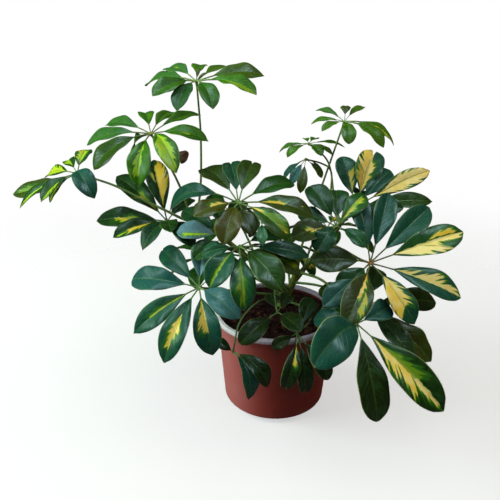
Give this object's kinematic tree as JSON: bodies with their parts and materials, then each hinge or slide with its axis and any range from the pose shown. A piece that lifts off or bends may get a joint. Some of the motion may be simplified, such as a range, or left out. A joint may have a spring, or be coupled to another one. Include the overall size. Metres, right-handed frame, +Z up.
{
  "type": "potted umbrella plant",
  "caption": "Variegated umbrella plant: compound leaves on long stalks from a forked stem, growing in soil in a round flat-based plastic pot.",
  "frame": {"origin": "middle of the pot's base, on the surface it stands on", "axes": "+Z up, -Y towards the plant's front, +X to its right seen from the front"},
  "size_m": [0.5651, 0.3846, 0.4591],
  "materials": {
    "pot_plastic": "terracotta red injection-moulded plastic, softly glossy, paler on the rim",
    "potting_soil": null,
    "green_stem": "green-brown living stem, satin",
    "leaf": "waxy dark green leaf with cream, yellow and lime variegation along the midrib (gloss_plastic stands in for a waxy leaf)"
  },
  "bodies": {
    "root": {"pot": "pot_plastic", "soil": "potting_soil", "stem": "green_stem", "leaf_far_left": "leaf", "leaf_upper_left": "leaf", "leaf_top": "leaf", "leaf_left": "leaf", "leaf_low_left": "leaf", "leaf_centre_high": "leaf", "leaf_centre": "leaf", "leaf_left_inner": "leaf", "leaf_top_right": "leaf", "leaf_new_upper": "leaf", "leaf_new_lower": "leaf", "leaf_right_back": "leaf", "leaf_right_upper": "leaf", "leaf_right": "leaf", "leaf_low_right": "leaf", "leaf_right_low_back": "leaf", "leaf_front_left_small": "leaf", "leaf_front_mid_small": "leaf", "leaf_front_right_small": "leaf", "leaf_centre_young": "leaf", "leaf_back_left": "leaf", "leaf_back_right": "leaf", "leaf_back_middle": "leaf", "leaf_back_low_left": "leaf"}
  },
  "joints": []
}
